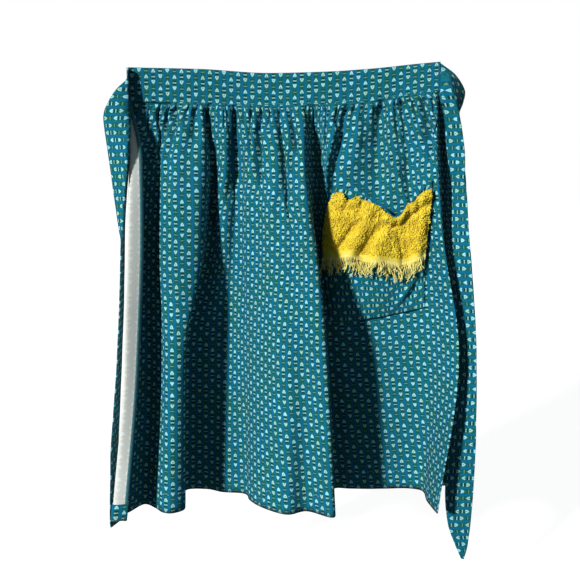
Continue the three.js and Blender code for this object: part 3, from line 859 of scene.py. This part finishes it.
def pocket_surface(along, down):
    """Points on the pocket: along from 0 to 1 to the right, down from 0 at the mouth to 1."""
    left, right = read_at(pocket_sides, down)
    x = pocket_left + pocket_width * (left + (right - left) * along)
    mouth, foot = read_at(pocket_table, along)
    z = -pocket_top - pocket_height * (mouth + (foot - mouth) * down)
    across = np.sin(np.pi * np.clip(along, 0, 1))
    bulge = pocket_bulge * across**0.6 * np.clip(1 - down**3, 0, 1) ** 0.7
    return np.stack([x, -(skirt_front(x, z) + pocket_gap + bulge), z], axis=-1)


# The mouth curls forward at its edge, and a crease runs up from the pocket's right foot.
pocket_along, pocket_down = np.meshgrid(np.linspace(0, 1, 90), np.linspace(0, 1, 80))
pocket_grid = pocket_surface(pocket_along, pocket_down)
curl_reach, curl_height = 2.2 * mm, 1.8 * mm
crease_depth, crease_lip = 4.5 * mm, 3.5 * mm
pocket_grid[..., 1] -= curl_height * hump(pocket_down * pocket_height, curl_reach)
crease_off = pocket_along - 0.957 + 0.905 * (pocket_down - 0.731)
crease_run = fade(np.abs(pocket_down - 0.82) / 0.14)
pocket_grid[..., 1] += crease_depth * hump(crease_off, 0.04) * crease_run
pocket_grid[..., 1] -= crease_lip * hump(crease_off + 0.075, 0.05) * crease_run
pocket_flat = np.stack([pocket_down * pocket_height, -pocket_along * pocket_width], axis=-1)
pocket_piece = cloth_shell("pocket_cloth", pocket_grid, pocket_flat, skirt_cloth, [right_side, wrong_side])
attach(pocket_piece, "root")
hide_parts("pocket")

# Pocket trim
# A band of yellow terry gathered along the pocket's mouth: looped pile over most of its height,
# then a flat woven border and a fringe of loose threads.
trim_cloth = 2 * mm
fringe_length = 18 * mm
tuft_width = 8.5 * mm
tuft_pull = 1.3 * mm
border_share = 0.86
# The light yellows also carry painted highlights on the yarn's high places; the deep ones carry painted
# shade in its low places and a random darker tone.
terry_yellow = (0.84, 0.68, 0.038, 1)
terry_shade_and_tone = (0.5, 0.31, 0.01, 1)
border_yellow = (0.78, 0.67, 0.13, 1)
border_shade_and_tone = (0.56, 0.42, 0.04, 1)
fringe_pale = (0.84, 0.76, 0.27, 1)

# Columns: place across the pocket, the trim's top and the end of its border, as shares of the
# pocket's height below the pocket's left top corner.
trim_table = np.array(
    [
        (0, 0.075, 0.54),
        (0.05, 0.07, 0.545),
        (0.16, 0.122, 0.55),
        (0.23, 0.096, 0.54),
        (0.31, 0.137, 0.535),
        (0.4, 0.162, 0.55),
        (0.475, 0.176, 0.56),
        (0.56, 0.226, 0.57),
        (0.6, 0.262, 0.575),
        (0.65, 0.24, 0.58),
        (0.74, 0.172, 0.58),
        (0.81, 0.122, 0.575),
        (0.89, 0.085, 0.565),
        (1, 0.035, 0.54),
    ]
)

# The trim's folds. Columns: place across at the top and at the foot, where down the trim it
# starts and ends, how far it stands out in millimetres, and its half width across.
trim_folds = [
    (0.14, 0.1, -0.1, 0.8, 3, 0.08),
    (0.17, 0.15, -0.1, 0.3, -4, 0.025),
    (0.3, 0.29, -0.1, 0.2, -5, 0.025),
    (0.42, 0.25, -0.1, 1.1, 6, 0.055),
    (0.37, 0.15, 0.22, 0.85, -8, 0.035),
    (0.57, 0.34, 0.1, 1.0, -10, 0.04),
    (0.56, 0.5, -0.1, 1.1, 5, 0.08),
    (0.62, 0.63, 0.0, 0.3, -5, 0.025),
    (0.7, 0.7, -0.05, 0.16, 4, 0.04),
    (0.69, 0.82, 0.2, 1.1, -9, 0.045),
    (0.76, 0.76, -0.1, 0.18, -4, 0.02),
    (0.8, 0.8, -0.1, 0.16, 4, 0.035),
    (0.85, 0.86, -0.1, 0.16, -4, 0.02),
    (0.92, 0.92, -0.1, 1.1, 5, 0.07),
    (0.97, 0.96, 0.3, 1.1, -3, 0.03),
]

# The heading stands out as a thick roll, most of all on the right, with a groove under it.
roll_height = 5 * mm
least_stand, top_stand, foot_stand = 1.9 * mm, 3.2 * mm, 3 * mm
bobble_height = 1.1 * mm
roll_place, roll_reach = 0.07, 0.075
groove_place, groove_reach = 0.21, 0.05


def terry_finish(name, light, deep, bump):
    """Cotton yarn of the trim, mixed from a light and a deep colour: a painted highlight where the yarn's
    bump rises and painted shade where it falls, over a random tone in larger patches.
    """
    material, tree, shader = new_material(name, Roughness=0.95, Specular_IOR_Level=0.1, Sheen_Weight=0.25)
    place = Signal(tree, tree.nodes.new("ShaderNodeTexCoord").outputs["Object"])
    yarn = noise(place, 900, 3.0)
    # Painted highlight: the light colour's share rises with the yarn noise that also raises the bump; the
    # larger noise is random tone.
    share = rise(noise(place, 90, 3.0), 0.3, 0.75, 0.0, 0.45) + rise(yarn, 0.35, 0.75, 0.0, 0.4)
    put(tree, shader.inputs["Base Color"], mixed(share, plain(tree, light), deep))
    bumped(tree, shader, yarn, bump)
    return material


terry = terry_finish("yellow terry", terry_yellow, terry_shade_and_tone, 0.7)
border = terry_finish("flat woven border", border_yellow, border_shade_and_tone, 0.4)
# The fringe threads take the border's yellow as their painted shade and darker tone.
thread = terry_finish("fringe threads", fringe_pale, border_yellow, 0.4)
trim_cols, trim_rows = 190, 84
trim_along, trim_down = np.meshgrid(np.linspace(0.015, 0.985, trim_cols), np.linspace(0, 1, trim_rows))


def trim_surface(along, down):
    """Points on the trim's cloth, with its folds: along to the right, down from 0 to 1."""
    top, end = read_at(trim_table, along)
    mouth, foot = read_at(pocket_table, along)
    top_wave = 0.012 * np.sin(31 * along + 2 * np.sin(9 * along)) * np.clip(1 - 3 * down, 0, 1)
    foot_wave = 0.012 * np.sin(17 * along + 1.0) * down
    level = top + (end - top) * down + (top_wave + foot_wave)
    points = pocket_surface(along, (level - mouth) / (foot - mouth))
    stand = top_stand + foot_stand * np.minimum(1, 2 * down)
    for at_top, at_foot, start, end, height, width in trim_folds:
        middle = at_top + (at_foot - at_top) * (down - start) / (end - start)
        reach = np.clip(np.minimum(down - start, end - down) / 0.12, 0, 1)
        stand = stand + height * mm * hump(along - middle, width) * (1 - fade(reach))
    on_right = 0.35 + 0.65 * (1 - fade((along - 0.5) / 0.15))
    roll = hump(down - roll_place, roll_reach)
    groove = hump(down - groove_place, groove_reach)
    knobbly = 0.75 + 0.25 * np.sin(52 * along + 3 * np.sin(11 * along))
    stand = stand + on_right * roll_height * (roll * knobbly - 0.7 * groove)
    points[..., 1] -= np.maximum(stand, least_stand)
    return points


def bobbles(seed, shape, across, down, height):
    """A bumpy surface: random heights on a coarse grid, drawn smoothly onto the fine one."""
    coarse = np.random.default_rng(seed).uniform(-height, height, (down, across))
    rows = smooth_through(np.arange(down), coarse, np.linspace(0, down - 1, shape[0]))
    return smooth_through(np.arange(across), rows.T, np.linspace(0, across - 1, shape[1])).T


trim_grid = trim_surface(trim_along, trim_down)
looped = fade((trim_down - border_share + 0.06) / 0.06)
trim_grid[..., 1] += bobbles(31, trim_grid.shape[:2], 48, 26, bobble_height) * looped
trim_run = lengths_along(trim_grid)
trim_height = float(lengths_along(trim_grid.swapaxes(0, 1))[:, -1].mean())
trim_flat = np.stack([trim_run, trim_down * trim_height], axis=-1)
trim_piece = cloth_shell("pocket_trim_terry", trim_grid, trim_flat, trim_cloth, [terry])
trim_piece.data.materials.append(border)

# The pile ends unevenly above the border.
quads = (trim_rows - 1) * (trim_cols - 1)
row_of = np.arange(quads) // (trim_cols - 1)
ragged = np.random.default_rng(32).uniform(0.0, 0.05, 44)
pile_end = border_share + np.interp(np.linspace(0, 43, trim_cols - 1), np.arange(44), ragged)
slots = np.zeros(len(trim_piece.data.polygons), int)
slots[: 2 * quads] = np.tile(row_of / (trim_rows - 1) > np.tile(pile_end, trim_rows - 1), 2)
trim_piece.data.polygons.foreach_set("material_index", slots)


def geometry_tree(name, *measures):
    """An empty Geometry Nodes tree that takes a mesh, the named measures and a finish, and the
    sockets that give them."""
    tree = bpy.data.node_groups.new(name, "GeometryNodeTree")
    kinds = {"Geometry": "NodeSocketGeometry"}
    kinds.update((label, "NodeSocketFloat") for label in measures)
    kinds["Finish"] = "NodeSocketMaterial"
    for label, kind in kinds.items():
        tree.interface.new_socket(label, in_out="INPUT", socket_type=kind)
    tree.interface.new_socket("Geometry", in_out="OUTPUT", socket_type="NodeSocketGeometry")
    return tree, tree.nodes.new("NodeGroupInput").outputs


def step(tree, kind, settings=None, inputs=(), **values):
    """One node of a Geometry Nodes tree, its kind without the word GeometryNode. The inputs go to
    its sockets in their order, the values by their names."""
    made = tree.nodes.new(kind if "Node" in kind else "GeometryNode" + kind)
    for name, value in (settings or {}).items():
        setattr(made, name, value)
    for socket, value in zip(made.inputs, inputs):
        put(tree, socket, value)
    for label, value in values.items():
        sockets = [i for i in made.inputs if i.name == label.replace("_", " ") and i.enabled]
        put(tree, sockets[0], value)
    return made


def product(tree, first, second):
    return step(tree, "ShaderNodeMath", {"operation": "MULTIPLY"}, (first, second))


def finish_tree(tree, given, shape):
    """Ends a tree: its instances are made real, smooth and of the given finish."""
    real = step(tree, "RealizeInstances", Geometry=shape)
    smooth = step(tree, "SetShadeSmooth", Geometry=real)
    finished = step(tree, "SetMaterial", Geometry=smooth, Material=given["Finish"])
    put(tree, tree.nodes.new("NodeGroupOutput").inputs[0], finished)


def grown(name, source, group, **values):
    """The plain mesh that a Geometry Nodes tree makes from a source mesh, as a piece of its own."""
    made = linked(name, source)
    modifier = made.modifiers.new("tree", "NODES")
    modifier.node_group = group
    for item in group.interface.items_tree:
        label = item.name.replace(" ", "_")
        if item.in_out == "INPUT" and label in values:
            modifier[item.identifier] = values[label]
    result = bpy.data.meshes.new_from_object(made.evaluated_get(bpy.context.evaluated_depsgraph_get()))
    made.modifiers.remove(modifier)
    made.data = result
    return made


def line_mesh(points):
    """A mesh of one open line through the points."""
    mesh = bpy.data.meshes.new("line")
    mesh.from_pydata(np.asarray(points).tolist(), [(k, k + 1) for k in range(len(points) - 1)], [])
    return mesh


# The pile: bent loops of yarn that stand close together on the terry.
pile, given = geometry_tree("terry pile", "Spacing", "Loop size", "Yarn radius")
scatter = step(
    pile,
    "DistributePointsOnFaces",
    {"distribute_method": "POISSON"},
    Mesh=given["Geometry"],
    Distance_Min=given["Spacing"],
    Density_Max=2.0e6,
    Seed=7,
)
loop_start, loop_sweep = math.radians(-35), math.radians(250)
loop_path = step(
    pile, "CurveArc", Resolution=6, Radius=given["Loop size"], Start_Angle=loop_start, Sweep_Angle=loop_sweep
)
yarn_ring = step(pile, "CurvePrimitiveCircle", Resolution=4, Radius=given["Yarn radius"])
upright = step(pile, "Transform", Geometry=loop_path, Rotation=(math.radians(90), 0, 0))
yarn_loop = step(pile, "CurveToMesh", Curve=upright, Profile_Curve=yarn_ring, Fill_Caps=True)
loops = step(
    pile, "InstanceOnPoints", Points=scatter, Instance=yarn_loop, Rotation=scatter.outputs["Rotation"]
)
random_turn = {"data_type": "FLOAT_VECTOR"}
random_share = {"data_type": "FLOAT"}
spin = step(pile, "FunctionNodeRandomValue", random_turn, ((-0.5, -0.5, 0), (0.5, 0.5, 6.28)), Seed=3)
spun = step(pile, "RotateInstances", Instances=loops, Rotation=spin)
size = step(pile, "FunctionNodeRandomValue", random_share, Min=0.7, Max=1.25, Seed=5)
finish_tree(pile, given, step(pile, "ScaleInstances", Instances=spun, Scale=size))

pile_grid = trim_grid[: int(trim_rows * border_share)] - np.array([0, trim_cloth / 2, 0])
pile_mesh = bpy.data.meshes.new("sheet")
pile_ids = np.arange(pile_grid[..., 0].size).reshape(pile_grid.shape[:2])
pile_mesh.from_pydata(pile_grid.reshape(-1, 3).tolist(), [], quads_of(pile_ids).tolist())
terry_loops = grown(
    "terry_pile", pile_mesh, pile, Spacing=2.3 * mm, Loop_size=1.35 * mm, Yarn_radius=0.62 * mm, Finish=terry
)

# The fringe: loose warp threads that hang from the border's end, curl a little and draw together
# in tufts towards their ends.
fringe, given = geometry_tree("fringe", "Spacing", "Length", "Curl", "Thread radius")
edge = step(fringe, "MeshToCurve", Mesh=given["Geometry"])
roots = step(fringe, "CurveToPoints", {"mode": "LENGTH"}, Curve=edge, Length=given["Spacing"])
straight = step(fringe, "CurvePrimitiveLine", End=(0, 0, -1))
joints = step(fringe, "ResampleCurve", Curve=straight, Count=9)
hung = step(fringe, "InstanceOnPoints", Points=roots, Instance=joints)
lean = step(fringe, "FunctionNodeRandomValue", random_turn, ((-0.1, -0.22, 0), (0.3, 0.22, 0)), Seed=11)
leant = step(fringe, "RotateInstances", Instances=hung, Rotation=lean)
uneven = step(fringe, "FunctionNodeRandomValue", random_share, Min=0.55, Max=1.3, Seed=12)
long = product(fringe, uneven, given["Length"])
sized = step(fringe, "ScaleInstances", Instances=leant, Scale=long)
threads = step(fringe, "RealizeInstances", Geometry=sized)
along = step(fringe, "SplineParameter")
bend = step(fringe, "ShaderNodeTexNoise", Scale=105.0, Detail=1.5).outputs["Color"]
centre = step(fringe, "ShaderNodeVectorMath", {"operation": "SUBTRACT"}, (bend, (0.5, 0.5, 0.5)))
curl = product(fringe, along, given["Curl"])
sway = step(fringe, "ShaderNodeVectorMath", {"operation": "SCALE"}, (centre,), Scale=curl)
where = step(fringe, "ShaderNodeSeparateXYZ", Vector=step(fringe, "InputPosition"))
turn = product(fringe, where, 2 * math.pi / tuft_width)
wave = step(fringe, "ShaderNodeMath", {"operation": "SINE"}, (turn,))
sideways = step(fringe, "ShaderNodeCombineXYZ", X=product(fringe, product(fringe, wave, tuft_pull), along))
moved = step(fringe, "ShaderNodeVectorMath", {"operation": "ADD"}, (sway, sideways))
curled = step(fringe, "SetPosition", Geometry=threads, Offset=moved)
ring = step(fringe, "CurvePrimitiveCircle", Resolution=5, Radius=given["Thread radius"])
tubes = step(fringe, "CurveToMesh", Curve=curled, Profile_Curve=ring, Fill_Caps=True)
finish_tree(fringe, given, tubes)

root_row = int(0.95 * trim_rows)
fringe_threads = grown(
    "fringe_threads",
    line_mesh(trim_grid[root_row] + np.array([0, -1.1 * mm, 0])),
    fringe,
    Spacing=0.75 * mm,
    Length=fringe_length,
    Curl=22 * mm,
    Thread_radius=0.45 * mm,
    Finish=thread,
)
for made in (trim_piece, terry_loops, fringe_threads):
    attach(made, "root")
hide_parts("pocket_trim")

# Ties
# Two long strips of the cotton, each sewn double and turned, with a pointed end. The print runs
# across them. They leave the band's ends, fold over a crease and hang down.
tie_width = 40 * mm
tie_cloth = 1.4 * mm
tie_gap = 0.3 * mm
behind_fold = 5 * mm
root_tuck = 0.03

# One row for each turn of the ribbon. Columns: the outer edge, the crease along it and the inner
# edge, each as x outward from the band's end in tie widths, out toward the viewer as a share of
# fold_depth and down as a share of the tie's drop, then the share of the width before the crease.
left_tie_table = [
    (0.05, 0.0, -0.013, 0.05, 0.0, 0.05, 0.05, 0.0, 0.066, 0.8),
    (-0.04, 0.15, -0.008, -0.07, 0.18, 0.069, -0.01, 0.09, 0.079, 0.8),
    (-0.01, 0.18, 0.014, -0.09, 0.24, 0.092, -0.07, 0.09, 0.099, 0.8),
    (0.27, 0.21, 0.037, -0.12, 0.32, 0.11, -0.07, 0.1, 0.114, 0.78),
    (0.51, 0.24, 0.064, -0.15, 0.4, 0.133, -0.07, 0.12, 0.134, 0.74),
    (0.67, 0.27, 0.101, -0.14, 0.45, 0.163, -0.05, 0.16, 0.166, 0.68),
    (0.53, 0.32, 0.178, -0.11, 0.5, 0.207, -0.03, 0.22, 0.21, 0.6),
    (0.35, 0.42, 0.266, -0.06, 0.56, 0.266, 0.03, 0.28, 0.27, 0.45),
    (0.16, 0.54, 0.344, 0.01, 0.62, 0.344, 0.09, 0.32, 0.348, 0.25),
    (0.07, 0.62, 0.38, 0.05, 0.65, 0.38, 0.1, 0.34, 0.384, 0.08),
    (0.1, 0.72, 0.49, 0.09, 0.72, 0.49, 0.14, 0.38, 0.501, 0.04),
    (0.18, 0.82, 0.635, 0.17, 0.82, 0.635, 0.22, 0.46, 0.652, 0.04),
    (0.39, 0.92, 0.853, 0.38, 0.92, 0.853, 0.36, 0.54, 0.879, 0.04),
    (0.43, 0.96, 0.985, 0.42, 0.96, 0.985, 0.36, 0.6, 1.0, 0.04),
    (0.41, 0.97, 1.0, 0.4, 0.96, 1.0, 0.29, 0.62, 1.01, 0.04),
]
right_tie_table = [
    (0.03, 0.0, -0.02, 0.03, 0.0, 0.01, 0.03, 0.0, 0.043, 0.5),
    (0.55, -0.08, 0.005, 0.24, 0.07, 0.008, 0.04, 0.08, 0.05, 0.5),
    (0.85, -0.14, 0.037, 0.38, 0.09, 0.038, 0.08, 0.09, 0.066, 0.5),
    (0.77, -0.1, 0.058, 0.49, 0.11, 0.067, 0.12, 0.09, 0.086, 0.48),
    (0.61, -0.04, 0.087, 0.58, 0.14, 0.092, 0.16, 0.09, 0.11, 0.45),
    (0.66, 0.0, 0.125, 0.66, 0.17, 0.125, 0.19, 0.1, 0.136, 0.4),
    (0.74, 0.07, 0.174, 0.73, 0.2, 0.17, 0.27, 0.11, 0.176, 0.36),
    (0.81, 0.22, 0.238, 0.72, 0.21, 0.238, 0.41, 0.13, 0.239, 0.3),
    (0.94, 0.28, 0.345, 0.74, 0.24, 0.346, 0.44, 0.18, 0.347, 0.4),
    (1.08, 0.35, 0.456, 0.81, 0.32, 0.457, 0.46, 0.27, 0.459, 0.45),
    (1.16, 0.44, 0.58, 0.88, 0.42, 0.582, 0.54, 0.38, 0.585, 0.5),
    (1.17, 0.5, 0.719, 0.78, 0.48, 0.72, 0.38, 0.46, 0.723, 0.5),
    (1.13, 0.51, 0.845, 0.73, 0.5, 0.846, 0.25, 0.5, 0.847, 0.5),
    (1.07, 0.5, 0.919, 0.72, 0.5, 0.919, 0.35, 0.5, 0.918, 0.5),
    (1.01, 0.49, 0.967, 0.81, 0.49, 0.967, 0.59, 0.49, 0.965, 0.5),
    (0.9, 0.48, 0.999, 0.86, 0.48, 0.999, 0.8, 0.48, 0.997, 0.5),
]


def make_tie(name, node, table, side, drop):
    """One tie: side is -1 for the left one and 1 for the right one."""
    table = np.array(table, float)
    rows, across = 240, 41
    read = smooth_through(np.arange(len(table)), table, np.linspace(0, len(table) - 1, rows))
    scales = np.array([side * tie_width, -fold_depth, -drop])
    start = np.array([side * (band_length / 2 + tie_gap - root_tuck * tie_width), 0, 0])
    edge, crease, back = (start + read[:, None, k : k + 3] * scales for k in (0, 3, 6))
    front = read[:, 9][:, None, None]
    share = np.linspace(0, 1, across)[None, :, None]
    outer = edge + (crease - edge) * np.clip(share / front, 0, 1)
    grid = outer + (back - crease) * np.clip((share - front) / (1 - front), 0, 1)
    for axis in range(3):
        grid[..., axis] = blurred(grid[..., axis], 2)
    level = np.stack(np.broadcast_arrays(grid[..., 0], grid[..., 1]), axis=-1)
    over = lengths_along(level)
    flat = np.stack([-grid[..., 2], over - over[:, across // 2][:, None]], axis=-1)
    ripple = waves(6 + side, grid[..., 2], 60 * mm, 0.7 * mm)
    grid[..., 1] += ripple * np.clip(np.arange(rows) / 30, 0, 1)[:, None]
    if side > 0:
        grid[..., 1] += behind_fold * (1 - fade((-grid[..., 2] - 0.1) / 0.1))
        grid, flat = grid[:, ::-1], flat[:, ::-1]
    made = cloth_shell(name, grid, flat, tie_cloth, [right_side])
    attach(made, "root")
    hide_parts(node)


make_tie("left_tie_cloth", "tie_left", left_tie_table, -1, 531 * mm)
make_tie("right_tie_cloth", "tie_right", right_tie_table, 1, 594 * mm)

# Stitches
# Single stitches of teal thread: along the waistband's lower edge, round the pocket's sides and
# foot, and paler ones where the hem is caught down.
stitching, given = geometry_tree("stitches", "Spacing", "Stitch length", "Thread radius")
seam_line = step(stitching, "MeshToCurve", Mesh=given["Geometry"])
marks = step(stitching, "CurveToPoints", {"mode": "LENGTH"}, Curve=seam_line, Length=given["Spacing"])
stitch = step(
    stitching, "MeshCylinder", Vertices=6, Radius=given["Thread radius"], Depth=given["Stitch length"]
)
stitches = step(
    stitching, "InstanceOnPoints", Points=marks, Instance=stitch, Rotation=marks.outputs["Rotation"]
)
finish_tree(stitching, given, stitches)


def sewn(name, points, spacing, length, colour):
    """A row of stitches along a line of points."""
    finish, _, _ = new_material(name + " thread", Base_Color=colour, Roughness=0.6, Specular_IOR_Level=0.3)
    made = grown(
        name,
        line_mesh(points),
        stitching,
        Spacing=spacing,
        Stitch_length=length,
        Thread_radius=0.22 * mm,
        Finish=finish,
    )
    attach(made, "root")
    return made


teal_thread = (0.03, 0.22, 0.3, 1)
pale_thread = (0.5, 0.68, 0.66, 1)
band_inset = 2.2 * mm
stitch_spacing, stitch_length = 3 * mm, 2.2 * mm
catch_spacing, catch_length = 6.5 * mm, 1.4 * mm
on_cloth = np.array([0, -(skirt_cloth / 2 + 0.1 * mm), 0])
seam_lift, hem_lift = 1.4, 1.6

# The row of the band's front nearest to the seam, in each of its columns.
from_row = np.abs(band_grid[..., 2] - (band_edge(2, band_grid[0, :, 0]) + band_inset))
nearest = np.argmin(from_row + 9 * (band_grid[..., 1] > 0), axis=0)
band_row = band_grid[nearest, np.arange(band_grid.shape[1])]
sewn("band_stitches", band_row + seam_lift * on_cloth, stitch_spacing, stitch_length, teal_thread)
pocket_rows = [pocket_grid[6:-2, 2], pocket_grid[-3, 2:-2], pocket_grid[-3:6:-1, -3]]
pocket_line = np.concatenate(pocket_rows)
sewn("pocket_stitches", pocket_line + seam_lift * on_cloth, stitch_spacing, stitch_length, teal_thread)
hem_row = seam_rows + int(round((1 - bottom_hem / skirt_drop) ** (1 / row_spread) * (skirt_rows - 1)))
sewn("hem_stitches", skirt_grid[hem_row] + hem_lift * on_cloth, catch_spacing, catch_length, pale_thread)
plain = [[[float(v) for v in corner] for corner in box] for box in (cad_bounds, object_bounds())]
